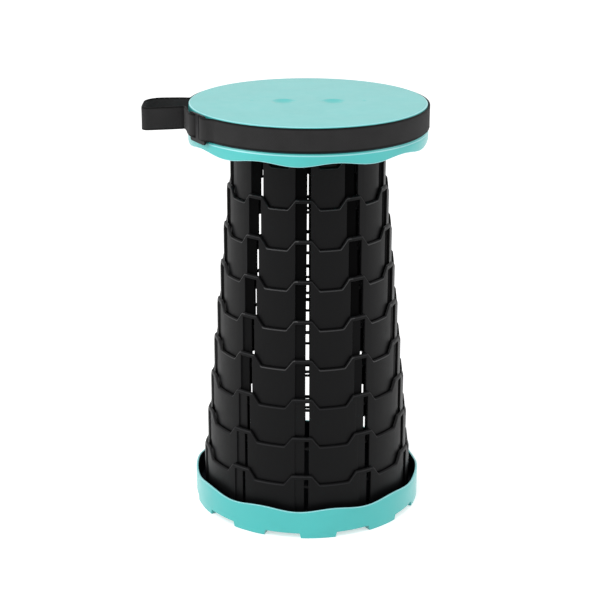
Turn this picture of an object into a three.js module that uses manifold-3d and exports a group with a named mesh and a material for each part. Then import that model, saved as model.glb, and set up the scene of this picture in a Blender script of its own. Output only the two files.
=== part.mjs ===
// Collapsible telescopic stool: a round seat on ten nested rings that slide out of a round base.
// Millimetres, +Z up. The origin is the middle of the underside, on the floor.
// Angles about the upright axis start at the front (-Y) and grow towards +X.

import * as THREE from 'three';
import { mergeVertices } from 'three/addons/utils/BufferGeometryUtils.js';
import Module from 'manifold-3d';

const wasm = await Module();
wasm.setup();

// What repeats around the axis and up the stool
const ring_count = 10;
const segment_count = 10;
const facets_per_segment = 6;

// Fits that every piece shares
const touch_gap = 0.3;
const overrun = 1;
const root_depth = 0.6;

// Telescopic rings, numbered from the smallest under the seat to the largest in the base
const smallest_ring_radius = 79.2;
const ring_spacing = 4.02;
const ring_wall = 2.6;
const ring_height = 58.5;
const ring_overlap = 16.1;
const last_stage_cut = 4.3;

// Raised tabs along the top edge of each ring
const notch_depth = 10.6;
const edge_slope = 1.4;
const tab_left_share = 0.15;
const tab_right_share = 0.045;
const tab_diagonal = 8.2;
const widest_facet = 20;

// Upright slit of each segment, with the sliding channel to its left
const slit_width = 5;
const slit_lip = 4.6;
const channel_width = 10.8;
const channel_depth = 1.5;
const leg_width = 5.4;

// Lugs that run in the channels and turn into their legs
const lug_width = 5;
const lug_height = 6;
const lug_drop = 7.1;
const lug_tip_gap = 0.3;
const hook_gap = 0.5;

// Base tray
const base_clearance = 7.5;
const base_wall = 2.5;
const base_floor = 3;
const base_rim_height = 32.3;
const base_wave = 1.66;
const rest_height = 1.7;
const rest_lead = 3;
const foot_height = 5.5;
const foot_depth = 15;
const foot_chamfer = 1.2;
const foot_share = 0.48;
const foot_centre_share = 0.156;
const foot_end_slope = 1.5;
const hub_radius = 15;
const hub_facets = 24;
const rib_thickness = 2;
const base_rib_clearance = 1;

// Seat
const seat_plate = 3.4;
const skirt_overhang = 2;
const skirt_step = 1.2;
const seat_wall = 2.4;
const seat_edge = 2.4;
const seat_edge_steps = 3;
const seat_flare = 2;
const seat_rim_drop = 38.9;
const seat_wave = 1.88;
const seat_rib_height = 12;
const seat_rib_end = 4;
const wave_crest_share = 0.356;

// Snap fingers under the seat, caught in the slits of the smallest ring
const finger_count = 5;
const finger_thickness = 3;
const finger_gap = 0.8;
const finger_side_gap = 0.4;
const barb_height = 4;
const barb_lead = 2;
const barb_setback = 0.6;

// Shallow marks in the seat's top
const thumb_recess_radius = 12;
const thumb_recess_spacing = 52;
const thumb_recess_depth = 0.8;
const dimple_radius = 2.5;
const dimple_spacing = 118;
const dimple_depth = 0.5;
const recess_facets = 24;
const dimple_facets = 12;

// Strap of flat webbing in the seat's groove, with a carrying loop on the left
const webbing_width = 24.5;
const webbing_thickness = 2;
const webbing_slack = 0.5;
const strap_top_drop = 1.1;
const strap_steps = 60;
const loop_reach = 45.8;
const loop_rear_side = 21.5;
const loop_rear_bend = 20;
const loop_front_side = 29.5;
const loop_front_bend = 6;
const loop_bend_steps = 5;
const loop_root_gap = 5;
const loop_root_side = 22.5;
const loop_rear_share = -0.276;
const loop_front_share = -0.225;

// Slider that joins the two ends of the strap
const slider_angle_share = -0.1667;
const slider_length = 32;
const slider_margin = 1;
const slider_thickness = 2.4;
const slider_corner = 3;
const slider_corner_steps = 3;
const slider_slot = 5.2;
const slider_bar = 7.2;
const slider_lead = 2;
const strap_landing = 24;

// Values that follow from the sizes above
const full_turn = 2 * Math.PI;
const segment_angle = full_turn / segment_count;
const stage_travel = ring_height - ring_overlap;
const base_floor_top = foot_height + base_floor;
const ring_floor = base_floor_top + rest_height + touch_gap;
const smallest_ring_floor = ring_floor + (ring_count - 1) * stage_travel - last_stage_cut;
const seat_underside = smallest_ring_floor + ring_height + touch_gap;
const seat_top = seat_underside + seat_plate;
const lug_top = ring_height - lug_drop;
const lug_bottom = lug_top - lug_height;
const ledge_height = lug_bottom - stage_travel - touch_gap;
const leg_top = lug_top - stage_travel + touch_gap;
const base_radius = outerRadius(ring_count) + base_clearance + base_wall;
const seat_skirt_radius = base_radius + skirt_overhang;
const seat_groove_radius = seat_skirt_radius - skirt_step;

const plastic = (color, roughness) => new THREE.MeshStandardMaterial({ color, roughness, metalness: 0 });
const teal_plastic = plastic(0x5cc8c4, 0.45);
const black_plastic = plastic(0x26262a, 0.5);
const black_webbing = plastic(0x343438, 0.9);

const stool = new THREE.Group();

function outerRadius(number) {
  return smallest_ring_radius + (number - 1) * ring_spacing;
}

function ringFloor(number) {
  return number === 1 ? smallest_ring_floor : ring_floor + (ring_count - number) * stage_travel;
}

// Shapes and solids

function outlineShape(points) {
  return new THREE.Shape(points.map(([across, up]) => new THREE.Vector2(across, up)));
}

// A profile of radius and height, turned about the upright axis.
function revolve(points, facets) {
  const profile = points.map(([radius, height]) => new THREE.Vector2(radius, height));
  profile.push(profile[0].clone());
  return new THREE.LatheGeometry(profile, facets).rotateX(Math.PI / 2);
}

// An outline of distance along the wall and height, run outwards from one radius to another.
function radialPrism(points, near, far, angle) {
  const prism = new THREE.ExtrudeGeometry(outlineShape(points), { depth: far - near, bevelEnabled: false });
  return prism.translate(0, 0, near).rotateX(Math.PI / 2).rotateZ(angle);
}

// An outline of radius and height, as thick as the width, standing on a radius of the stool.
function sectionPrism(points, width, angle) {
  const prism = new THREE.ExtrudeGeometry(outlineShape(points), { depth: width, bevelEnabled: false });
  return prism.translate(0, 0, -width / 2).rotateX(Math.PI / 2).rotateZ(angle - Math.PI / 2);
}

function rectangle(left, right, bottom, top) {
  return [[left, bottom], [right, bottom], [right, top], [left, top]];
}

function solid(geometry) {
  const bare = geometry.clone();
  bare.deleteAttribute('normal');
  bare.deleteAttribute('uv');
  const merged = mergeVertices(bare);
  const corners = merged.index.array;
  const kept = [];
  for (let at = 0; at < corners.length; at += 3) {
    const [a, b, c] = [corners[at], corners[at + 1], corners[at + 2]];
    if (a !== b && b !== c && c !== a) kept.push(a, b, c);
  }
  const vertProperties = new Float32Array(merged.attributes.position.array);
  return new wasm.Manifold(new wasm.Mesh({ numProp: 3, vertProperties, triVerts: new Uint32Array(kept) }));
}

function joined(geometries) {
  return wasm.Manifold.union(geometries.map(solid));
}

function addPiece(name, body, material, height) {
  const { vertProperties, triVerts } = body.getMesh();
  const geometry = new THREE.BufferGeometry();
  geometry.setAttribute('position', new THREE.BufferAttribute(vertProperties, 3));
  geometry.setIndex(new THREE.BufferAttribute(triVerts, 1));
  geometry.computeVertexNormals();
  const piece = new THREE.Mesh(geometry, material);
  piece.name = name;
  piece.position.z = height;
  stool.add(piece);
}

function everySegment(make) {
  return Array.from({ length: segment_count }, (_, segment) => make(segment * segment_angle));
}

// A rim that rises and falls once in each segment.
function wave(geometry, swing, isRim) {
  const spots = geometry.attributes.position;
  for (let at = 0; at < spots.count; at += 1) {
    const height = spots.getZ(at);
    if (!isRim(height)) continue;
    const angle = Math.atan2(spots.getX(at), -spots.getY(at));
    const phase = segment_count * angle - wave_crest_share * full_turn;
    spots.setZ(at, height + swing * Math.cos(phase));
  }
  return geometry;
}

// Ring: a tube whose top edge stands up in tabs, slit and channelled under each tab

// The corners of one segment's top edge: distance from its slit, and drop below the tab.
// The tab widens with the ring, so it spans the same angle on each.
function topEdge(outer) {
  const left = -tab_left_share * outer;
  const right = tab_right_share * outer;
  const flat_start = right + tab_diagonal;
  const flat_end = segment_angle * outer + left - tab_diagonal;
  const flat_steps = Math.ceil((flat_end - flat_start) / widest_facet);
  const corners = [[left, 0], [right, 0]];
  for (let step = 0; step <= flat_steps; step += 1) {
    corners.push([flat_start + (flat_end - flat_start) * step / flat_steps, notch_depth]);
  }
  return corners;
}

function tabbedTube(outer) {
  const inner = outer - ring_wall;
  const profile = [[inner, 0], [outer, 0], [outer, ring_height - edge_slope], [inner, ring_height]];
  const oneEdge = (angle) => topEdge(outer).map(([along, drop]) => [angle + along / outer, drop]);
  const corners = everySegment(oneEdge).flat();
  const tube = revolve(profile, corners.length);
  const spots = tube.attributes.position;
  for (let at = 0; at < spots.count; at += 1) {
    const row = at % (profile.length + 1);
    const [angle, drop] = corners[Math.floor(at / (profile.length + 1)) % corners.length];
    const [radius, height] = profile[row % profile.length];
    const isTop = height > profile[1][1];
    spots.setXYZ(at, radius * Math.sin(angle), -radius * Math.cos(angle), isTop ? height - drop : height);
  }
  return tube;
}

function slitCut(outer, angle) {
  const points = rectangle(-slit_width / 2, slit_width / 2, ledge_height, ring_height - slit_lip);
  return radialPrism(points, outer - ring_wall - overrun, outer + overrun, angle);
}

// The channel ends under the tab's lip, and at its foot it turns into a leg on the left.
function channelCut(outer, angle) {
  const half = (channel_width + leg_width) / 2;
  const upright = leg_width - half;
  const right = half + slit_width / 4;
  const top = ring_height - slit_lip;
  const points = [[-half, ledge_height], [right, ledge_height], [right, top], [upright, top],
    [upright, leg_top], [-half, leg_top]];
  const middle = angle - (slit_width / 2 + half) / outer;
  return radialPrism(points, outer - channel_depth, outer + overrun, middle);
}

// A lug reaches from the wall that carries it into the channel of the ring inside.
function lug(carried_outer, wall_radius, bottom, angle) {
  const tip = carried_outer - channel_depth + lug_tip_gap;
  const points = rectangle(-lug_width / 2, lug_width / 2, bottom, bottom + lug_height);
  const middle = (slit_width + channel_width) / 2;
  return radialPrism(points, tip, wall_radius + root_depth, angle - middle / carried_outer);
}

function buildRing(number) {
  const outer = outerRadius(number);
  const cutters = [slitCut, channelCut].flatMap((cut) => everySegment((angle) => cut(outer, angle)));
  const ring = solid(tabbedTube(outer)).subtract(joined(cutters));
  if (number === 1) return ring;
  const inner = outer - ring_wall;
  const bottom = number === 2 ? lug_bottom - last_stage_cut : lug_bottom;
  return ring.add(joined(everySegment((angle) => lug(outerRadius(number - 1), inner, bottom, angle))));
}

for (let number = 1; number <= ring_count; number += 1) {
  const name = `ring_${String(number).padStart(2, '0')}`;
  addPiece(name, buildRing(number), black_plastic, ringFloor(number));
}

// Base: a tray with a wavy rim, ten feet under its edge and a lug for each channel of the largest ring

const tray_facets = segment_count * facets_per_segment;

function footGap(angle) {
  const low = base_radius * Math.sin((1 - foot_share) * segment_angle / 2);
  const lean = foot_end_slope / foot_height;
  const points = [[-low - lean * overrun, -overrun], [low + lean * overrun, -overrun],
    [low - foot_end_slope, foot_height], [-low + foot_end_slope, foot_height]];
  const near = base_radius - 2 * foot_depth;
  const middle = angle + (foot_centre_share + 1 / 2) * segment_angle;
  return radialPrism(points, near, base_radius + overrun, middle);
}

function baseRib(angle) {
  const length = base_radius - foot_depth - hub_radius + 2 * root_depth;
  const height = foot_height - base_rib_clearance + root_depth;
  const rib = new THREE.BoxGeometry(rib_thickness, length, height);
  rib.translate(0, -hub_radius + root_depth - length / 2, base_rib_clearance + height / 2);
  return rib.rotateZ(angle);
}

function baseHook(angle) {
  const carried = outerRadius(ring_count);
  const wall = base_radius - base_wall;
  const bottom = ring_floor + lug_bottom - stage_travel;
  const post_inside = carried + hook_gap;
  const points = rectangle(-lug_width / 2, lug_width / 2, base_floor_top - root_depth, bottom + lug_height);
  const middle = (slit_width + channel_width) / 2;
  const post = radialPrism(points, post_inside, wall + root_depth, angle - middle / carried);
  return [post, lug(carried, post_inside, bottom, angle)];
}

// A low rib on the tray's floor, which carries the rings when the stool is pushed together.
function restRib(angle) {
  const near = outerRadius(1) - ring_wall - rest_lead;
  const far = base_radius - base_wall + root_depth;
  const points = [[near, base_floor_top - root_depth], [far, base_floor_top - root_depth],
    [far, base_floor_top + rest_height], [near, base_floor_top + rest_height]];
  return sectionPrism(points, rib_thickness, angle + segment_angle / 2);
}

function buildBase() {
  const foot_inside = base_radius - foot_depth;
  const wall_inside = base_radius - base_wall;
  const profile = [[0, foot_height], [foot_inside, foot_height], [foot_inside, 0],
    [base_radius - foot_chamfer, 0], [base_radius, foot_chamfer], [base_radius, base_rim_height],
    [wall_inside, base_rim_height], [wall_inside, base_floor_top], [0, base_floor_top]];
  const isRim = (height) => height > base_rim_height - base_wave;
  const tray = wave(revolve(profile, tray_facets), base_wave, isRim);
  const hub = new THREE.CylinderGeometry(hub_radius, hub_radius, foot_height + root_depth, hub_facets);
  hub.rotateX(Math.PI / 2).translate(0, 0, (foot_height + root_depth) / 2);
  const shell = solid(tray).subtract(joined(everySegment(footGap)));
  const ribs = [baseRib, restRib].flatMap((make) => everySegment(make));
  return shell.add(joined([hub, ...ribs, ...everySegment(baseHook).flat()]));
}

addPiece('base', buildBase(), teal_plastic, 0);

// Seat: a round cap with a strap groove, a wavy skirt, ribs and snap fingers

// Radius and height, from the middle of the underside round the skirt to the middle of the top.
function seatProfile() {
  const groove_foot = seat_top - strap_top_drop - webbing_width - touch_gap;
  const shoulder = groove_foot - seat_flare;
  const rim = seat_top - seat_rim_drop;
  const groove_inside = seat_groove_radius - seat_wall;
  const skirt_inside = seat_skirt_radius - seat_wall;
  const profile = [[0, seat_underside], [groove_inside, seat_underside], [groove_inside, shoulder],
    [skirt_inside, shoulder - seat_flare], [skirt_inside, rim], [seat_skirt_radius, rim],
    [seat_skirt_radius, shoulder], [seat_groove_radius, groove_foot]];
  for (let step = 0; step <= seat_edge_steps; step += 1) {
    const turn = step / seat_edge_steps * Math.PI / 2;
    const radius = seat_groove_radius + seat_edge * (Math.cos(turn) - 1);
    profile.push([radius, seat_top + seat_edge * (Math.sin(turn) - 1)]);
  }
  profile.push([0, seat_top]);
  return profile;
}

const finger_inside = outerRadius(1) - ring_wall - finger_gap - finger_thickness;

function seatRib(angle) {
  const length = finger_inside - seat_rib_end - hub_radius + root_depth;
  const height = seat_rib_height + root_depth;
  const rib = new THREE.BoxGeometry(rib_thickness, length, height);
  rib.translate(0, -hub_radius + root_depth - length / 2, seat_underside + root_depth - height / 2);
  return rib.rotateZ(angle + segment_angle / 2);
}

function snapFinger(angle) {
  const outside = finger_inside + finger_thickness;
  const barb = outerRadius(1) - barb_setback;
  const barb_top = smallest_ring_floor + ring_height - slit_lip - touch_gap;
  const barb_bottom = barb_top - barb_height;
  const tip = barb_bottom - barb_lead;
  const root = seat_underside + root_depth;
  const points = [[finger_inside, tip], [outside, tip], [barb, barb_bottom], [barb, barb_top],
    [outside, barb_top], [outside, root], [finger_inside, root]];
  return sectionPrism(points, slit_width - 2 * finger_side_gap, angle);
}

// A round mark sunk into the top of the seat.
function topMark(radius, depth, across, facets) {
  const cut = new THREE.CylinderGeometry(radius, radius, depth + overrun, facets).rotateX(Math.PI / 2);
  return cut.translate(across, 0, seat_top - depth + (depth + overrun) / 2);
}

function buildSeat() {
  const rim_limit = seat_top - seat_rim_drop + seat_wave;
  const cap = wave(revolve(seatProfile(), tray_facets), seat_wave, (height) => height < rim_limit);
  const hub_height = seat_rib_height + root_depth;
  const hub = new THREE.CylinderGeometry(hub_radius, hub_radius, hub_height, hub_facets);
  hub.rotateX(Math.PI / 2).translate(0, 0, seat_underside + root_depth - hub_height / 2);
  const finger_step = full_turn / finger_count;
  const fingers = Array.from({ length: finger_count }, (_, finger) => snapFinger(finger * finger_step));
  const marks = [-1, 1].flatMap((side) => [
    topMark(thumb_recess_radius, thumb_recess_depth, side * thumb_recess_spacing / 2, recess_facets),
    topMark(dimple_radius, dimple_depth, side * dimple_spacing / 2, dimple_facets),
  ]);
  return solid(cap).add(joined([hub, ...everySegment(seatRib), ...fingers])).subtract(joined(marks));
}

addPiece('seat', buildSeat(), teal_plastic, 0);

// Strap: one band of webbing round the seat, out into the carrying loop and through the slider

const strap_radius = seat_groove_radius + webbing_slack + webbing_thickness / 2;
const slider_angle = slider_angle_share * full_turn;
const slider_inside = strap_radius + webbing_thickness / 2 + touch_gap;
const over_bars = slider_inside + slider_thickness + touch_gap + webbing_thickness / 2;
const slot_middle = (slider_bar + slider_slot) / 2;

function fromAxis(angle, radius) {
  return new THREE.Vector2(radius * Math.sin(angle), -radius * Math.cos(angle));
}

// A place by the slider: along the band from the slider's middle, and out from the stool's axis.
function bySlider(along, outwards) {
  return new THREE.Vector2(along, -outwards).rotateAround(new THREE.Vector2(), slider_angle);
}

// A quarter turn of the band round a middle, from the given quarter on.
function bend(across, back, radius, quarter) {
  const middle = new THREE.Vector2(across, back);
  return Array.from({ length: loop_bend_steps + 1 }, (_, step) => {
    const turn = (quarter + step / loop_bend_steps) * Math.PI / 2;
    return new THREE.Vector2(Math.cos(turn), Math.sin(turn)).multiplyScalar(radius).add(middle);
  });
}

// The middle of the band seen from above, anticlockwise from the slider's right end.
function strapPath() {
  const path = [];
  const rim_start = slider_angle + strap_landing / strap_radius;
  const rim_end = (1 + loop_rear_share) * full_turn;
  for (let step = 0; step <= strap_steps; step += 1) {
    path.push(fromAxis(rim_start + (rim_end - rim_start) * step / strap_steps, strap_radius));
  }
  const root_reach = -strap_radius - loop_root_gap;
  const end_reach = -strap_radius - loop_reach;
  path.push(new THREE.Vector2(root_reach, loop_root_side));
  path.push(...bend(end_reach + loop_rear_bend, loop_rear_side - loop_rear_bend, loop_rear_bend, 1));
  path.push(...bend(end_reach + loop_front_bend, loop_front_bend - loop_front_side, loop_front_bend, 2));
  path.push(new THREE.Vector2(root_reach, -loop_root_side));
  path.push(fromAxis(loop_front_share * full_turn, strap_radius + webbing_thickness));
  const bar_end = slider_length / 2 + webbing_thickness / 2;
  const dip = slider_lead / 2;
  path.push(bySlider(-bar_end, over_bars), bySlider(-slot_middle - dip, over_bars));
  path.push(bySlider(-slot_middle + dip, strap_radius), bySlider(slot_middle - dip, strap_radius));
  path.push(bySlider(slot_middle + dip, over_bars), bySlider(bar_end, over_bars));
  return path;
}

// The closed path moved to its right, which is outwards.
function besidePath(path, distance) {
  return path.map((spot, at) => {
    const before = spot.clone().sub(path.at(at - 1)).normalize();
    const after = path[(at + 1) % path.length].clone().sub(spot).normalize();
    const mitre = distance / (1 + before.dot(after));
    return new THREE.Vector2(spot.x + mitre * (before.y + after.y), spot.y - mitre * (before.x + after.x));
  });
}

function buildStrap() {
  const path = strapPath();
  const band = new THREE.Shape(besidePath(path, webbing_thickness / 2));
  band.holes.push(new THREE.Path(besidePath(path, -webbing_thickness / 2)));
  return solid(new THREE.ExtrudeGeometry(band, { depth: webbing_width, bevelEnabled: false }));
}

addPiece('strap', buildStrap(), black_webbing, seat_top - strap_top_drop - webbing_width);

// Slider: a flat frame with rounded corners and two slots for the band

function roundedRectangle(width, height, corner) {
  const points = [];
  for (let quarter = 0; quarter < 4; quarter += 1) {
    const across = quarter % 3 === 0 ? 1 : -1;
    const up = quarter < 2 ? 1 : -1;
    for (let step = 0; step <= slider_corner_steps; step += 1) {
      const turn = (quarter + step / slider_corner_steps) * Math.PI / 2;
      points.push([across * (width / 2 - corner) + corner * Math.cos(turn),
        up * (height / 2 - corner) + corner * Math.sin(turn)]);
    }
  }
  return points;
}

function sliderSlot(side) {
  const inside = side * slider_bar / 2;
  const outside = side * (slider_bar / 2 + slider_slot);
  const half = webbing_width / 2 + touch_gap;
  const points = rectangle(Math.min(inside, outside), Math.max(inside, outside), -half, half);
  const far = slider_inside + slider_thickness + overrun;
  return radialPrism(points, slider_inside - overrun, far, slider_angle);
}

function buildSlider() {
  const outline = roundedRectangle(slider_length, webbing_width + 2 * slider_margin, slider_corner);
  const plate = radialPrism(outline, slider_inside, slider_inside + slider_thickness, slider_angle);
  return solid(plate).subtract(joined([sliderSlot(-1), sliderSlot(1)]));
}

addPiece('strap_slider', buildSlider(), black_plastic, seat_top - strap_top_drop - webbing_width / 2);

export default stool;
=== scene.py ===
# %% [markdown]
# ## A telescopic stool, dressed in Blender
# The stool is a round seat on ten plastic rings that slide out of a round base. A strap of black
# webbing runs round the seat and makes a carrying loop on the left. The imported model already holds
# every size and every joint, so this lesson only makes the visible surfaces. Every new piece is
# tied to the moving body that it belongs to, so that it slides and turns with that body.

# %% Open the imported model
import math

import bmesh
import bpy
from mathutils import Euler, Matrix, Vector


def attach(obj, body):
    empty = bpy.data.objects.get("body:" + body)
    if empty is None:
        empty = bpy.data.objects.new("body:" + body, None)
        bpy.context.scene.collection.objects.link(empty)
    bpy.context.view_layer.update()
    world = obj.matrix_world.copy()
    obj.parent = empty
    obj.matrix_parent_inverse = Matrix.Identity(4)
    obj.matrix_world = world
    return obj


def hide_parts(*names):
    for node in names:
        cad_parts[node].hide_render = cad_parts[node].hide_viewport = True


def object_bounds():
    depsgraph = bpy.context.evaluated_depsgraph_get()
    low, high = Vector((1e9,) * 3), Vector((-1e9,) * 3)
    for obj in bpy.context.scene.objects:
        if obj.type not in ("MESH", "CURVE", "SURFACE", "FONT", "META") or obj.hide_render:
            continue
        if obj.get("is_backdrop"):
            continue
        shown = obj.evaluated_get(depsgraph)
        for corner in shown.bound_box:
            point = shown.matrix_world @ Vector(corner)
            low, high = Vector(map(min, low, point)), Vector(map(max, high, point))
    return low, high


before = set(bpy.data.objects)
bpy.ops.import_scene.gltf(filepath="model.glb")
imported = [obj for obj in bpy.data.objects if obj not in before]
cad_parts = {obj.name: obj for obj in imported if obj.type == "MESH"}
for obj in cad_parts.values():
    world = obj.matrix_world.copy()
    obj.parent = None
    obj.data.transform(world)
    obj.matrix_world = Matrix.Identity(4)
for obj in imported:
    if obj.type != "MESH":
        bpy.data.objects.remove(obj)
model_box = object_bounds()
mm = 0.001
print("the model stands", round(model_box[1].z / mm, 1), "mm high")

# %% [markdown]
# ## The camera
# The photograph looks slightly down on the stool from far away, so the long lens hardly narrows
# the base. The camera could be set by eye, but a few measured points (the ends of the seat and the
# base, and the tops of the tabs) fix distance, height and tilt at once. They came out as below.

# %% Place the camera
lens_length, sensor_width = 96.39, 36
camera_spot = Vector((-0.0082, -1.673, 0.79936))
look_down, lean = math.radians(18.863), math.radians(0.15)
camera_data = bpy.data.cameras.new("camera")
camera_data.sensor_width = sensor_width
camera_data.lens = lens_length
camera = bpy.data.objects.new("camera", camera_data)
bpy.context.scene.collection.objects.link(camera)
aim = Euler((math.pi / 2 - look_down, 0, 0)).to_matrix() @ Matrix.Rotation(lean, 3, "Z")
camera.matrix_world = Matrix.LocRotScale(camera_spot, aim, None)
bpy.context.scene.camera = camera
print("the camera stands", round(-camera.location.y, 3), "m in front of the stool")

# %% [markdown]
# ## The floor and the white background
# A product photograph of this kind stands on white. One way is to light everything until it clips,
# but that burns out the stool too. Here the world is white only for what looks straight at it or
# mirrors it, and lights the stool softly. The floor glows a little for the camera alone, so it
# turns white and still keeps a faint shadow under the base.

# %% Helpers for node trees
def fresh_nodes(owner):
    """Empties the owner's node tree and gives back one call that adds a node to it."""
    owner.use_nodes = True
    tree = owner.node_tree
    tree.nodes.clear()

    def add(kind, sockets=(), **settings):
        """sockets says, by name or number, which outputs to join or values to set."""
        node = tree.nodes.new(kind)
        for name, value in settings.items():
            setattr(node, name, value)
        for name, value in dict(sockets).items():
            if isinstance(value, bpy.types.NodeSocket):
                tree.links.new(value, node.inputs[name])
            else:
                node.inputs[name].default_value = value
        return node

    return add


def seen_or_mirrored(add):
    """1 where a ray comes from the camera, a mirroring surface or a clear one, and 0 elsewhere."""
    path = add("ShaderNodeLightPath")
    total = path.outputs["Is Camera Ray"]
    for ray in ("Is Glossy Ray", "Is Transmission Ray"):
        total = add("ShaderNodeMath", {0: total, 1: path.outputs[ray]}, operation="MAXIMUM").outputs[0]
    return total


print("node helpers are ready")

# %% White surroundings
soft_world = 0.67
white = (1, 1, 1, 1)
world = bpy.data.worlds.new("white_room")
bpy.context.scene.world = world
add = fresh_nodes(world)
lighting = add("ShaderNodeBackground", {"Color": white, "Strength": soft_world}).outputs[0]
backdrop = add("ShaderNodeBackground", {"Color": white, "Strength": 1}).outputs[0]
choose = add("ShaderNodeMixShader", {0: seen_or_mirrored(add), 1: lighting, 2: backdrop})
add("ShaderNodeOutputWorld", {"Surface": choose.outputs[0]})
print("the world lights the stool at", soft_world, "and shows as white")

# %% Pale floor
floor_reach, floor_drop = 4.0, 0.0002
floor_glow, paper_shade = 0.53, (0.86, 0.86, 0.86, 1)
floor_mesh = bpy.data.meshes.new("floor")
square = ((-1, -1), (1, -1), (1, 1), (-1, 1))
floor_corners = [(x * floor_reach, y * floor_reach, -floor_drop) for x, y in square]
floor_mesh.from_pydata(floor_corners, [], [(0, 1, 2, 3)])
floor = bpy.data.objects.new("floor", floor_mesh)
bpy.context.scene.collection.objects.link(floor)
paper = bpy.data.materials.new("white_paper")
add = fresh_nodes(paper)
matt = add("ShaderNodeBsdfDiffuse", {"Color": paper_shade})
strength = add("ShaderNodeMath", {0: seen_or_mirrored(add), 1: floor_glow}, operation="MULTIPLY")
glow = add("ShaderNodeEmission", {"Color": white, "Strength": strength.outputs[0]})
both = add("ShaderNodeAddShader", {0: matt.outputs[0], 1: glow.outputs[0]})
add("ShaderNodeOutputMaterial", {"Surface": both.outputs[0]})
floor_mesh.materials.append(paper)
floor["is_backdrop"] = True
print("the floor is", 2 * floor_reach, "m wide")

# %% [markdown]
# ## Soft studio lamps
# The seat's strap is lightest at the front left, and both sides of the rings carry a soft gleam.
# Small lamps would draw hard spots on the satin plastic. Large square lamps at both sides and a
# weak one over the camera give the broad gleams that the photograph shows.

# %% Hang the lamps
middle_of_stool = Vector((0, 0, 0.22))


def softbox(name, place, width, power):
    """A square lamp that faces the middle of the stool."""
    data = bpy.data.lights.new(name, "AREA")
    data.shape = "SQUARE"
    data.size = width
    data.energy = power
    lamp = bpy.data.objects.new(name, data)
    lamp.location = place
    lamp.rotation_euler = (middle_of_stool - Vector(place)).to_track_quat("-Z", "Y").to_euler()
    bpy.context.scene.collection.objects.link(lamp)
    return lamp


lamps = [
    softbox("left_softbox", (-1.9, -0.9, 1.1), width=1.2, power=14.5),
    softbox("right_softbox", (2.1, -0.5, 0.9), width=1.2, power=7.5),
    softbox("high_softbox", (-0.5, -1.25, 2.3), width=0.7, power=16),
]
bpy.context.scene.view_settings.view_transform = "Standard"
print(len(lamps), "soft lamps")

# %% [markdown]
# ## Satin plastic
# Seat, base, rings and slider are moulded plastic. A moulded skin is never quite even: it has a
# fine grain, its gloss changes a little from place to place, and its edges are rubbed lighter. An
# image of plastic would need a map round every piece. Noise measured in the piece's own metres
# needs none, and stays at the right scale on every piece.

# %% Colour helpers
def tint(color, share):
    """The colour made darker or lighter, with its fourth number for a node's socket."""
    return tuple(min(1, part * share) for part in color) + (1,)


def blend(add, factor, first, second, how="MIX"):
    """Goes from the first colour to the second as the factor goes from 0 to 1."""
    sockets = {"Factor": factor, "A": first, "B": second}
    return add("ShaderNodeMix", sockets, data_type="RGBA", blend_type=how).outputs["Result"]


print("half of white is", tint((1, 1, 1), 0.5))

# %% How moulded plastic is made
# a larger number makes a finer noise
cloud_size, wear_size, grain_size = 26, 90, 1900
cloudiness, unevenness = 0.07, 0.06
grain_depth = 0.1 * mm
edge_starts, edge_full, edge_cover = 0.53, 0.66, 0.55


def moulded_plastic(name, color, worn_and_highlit, gloss, roughness, grain, polish=0.0):
    """A fine grain, cloudy colour and gloss, and lighter edges: wear, and on highlight finishes a painted
    highlight.
    """
    material = bpy.data.materials.new(name)
    add = fresh_nodes(material)
    place = add("ShaderNodeTexCoord").outputs["Object"]

    def noise(size, detail):
        return add("ShaderNodeTexNoise", {"Scale": size, "Detail": detail, "Vector": place}).outputs["Fac"]

    darker, lighter = tint(color, 1 - cloudiness), tint(color, 1 + cloudiness)
    cloudy = blend(add, noise(cloud_size, 4), darker, lighter)
    edges = add("ShaderNodeMapRange", {
        "Value": add("ShaderNodeNewGeometry").outputs["Pointiness"],
        "From Min": edge_starts, "From Max": edge_full, "To Max": edge_cover})
    wear = add("ShaderNodeMapRange", {
        "Value": noise(wear_size, 6),
        "To Min": roughness - unevenness, "To Max": roughness + unevenness})
    skin = add("ShaderNodeBump", {
        "Height": noise(grain_size, 2), "Strength": grain, "Distance": grain_depth})
    shader = add("ShaderNodeBsdfPrincipled", {
        "Base Color": blend(add, edges.outputs["Result"], cloudy, (*worn_and_highlit, 1)),
        "Roughness": wear.outputs["Result"], "Normal": skin.outputs["Normal"],
        "Specular IOR Level": gloss, "IOR": 1.5, "Coat Weight": polish, "Coat Roughness": 0.22})
    add("ShaderNodeOutputMaterial", {"Surface": shader.outputs[0]})
    return material


print("the grain of the plastic is", grain_depth / mm, "mm deep")

# %% [markdown]
# Seat and base come from a polished mould and shine more than the rings. A lower roughness alone
# would sharpen every reflection, so half a clear coat lies over the satin colour instead. Along the
# rims and the seat's edge the teal is a painted highlight, a lighter finish where the lamps gleam.
# The inside of the base looks almost black, because it lies in deep shade behind the largest ring.
# Less light would darken the outside too, so the inner faces get a painted shade: a near-black finish.

# %% Finishes of seat and base
teal_plastic = moulded_plastic("teal_plastic", (0.051, 0.515, 0.50), worn_and_highlit=(0.1, 0.56, 0.58),
                               gloss=0.5, roughness=0.4, grain=0.3, polish=0.5)
# painted highlight: a lighter teal for the rims and the seat's rounded edges, where the lamps gleam
painted_rim_highlight = moulded_plastic("painted_highlight_on_rims", (0.3, 0.72, 0.74), worn_and_highlit=(0.35, 0.76, 0.78),
                           gloss=0.5, roughness=0.3, grain=0.15)
# painted shadow: a dark teal for the groove's wall just under the strap, where the strap shades it
shaded_groove = moulded_plastic("shaded_groove", (0.006, 0.05, 0.055), worn_and_highlit=(0.01, 0.07, 0.075),
                                gloss=0.2, roughness=0.5, grain=0.2)
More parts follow.
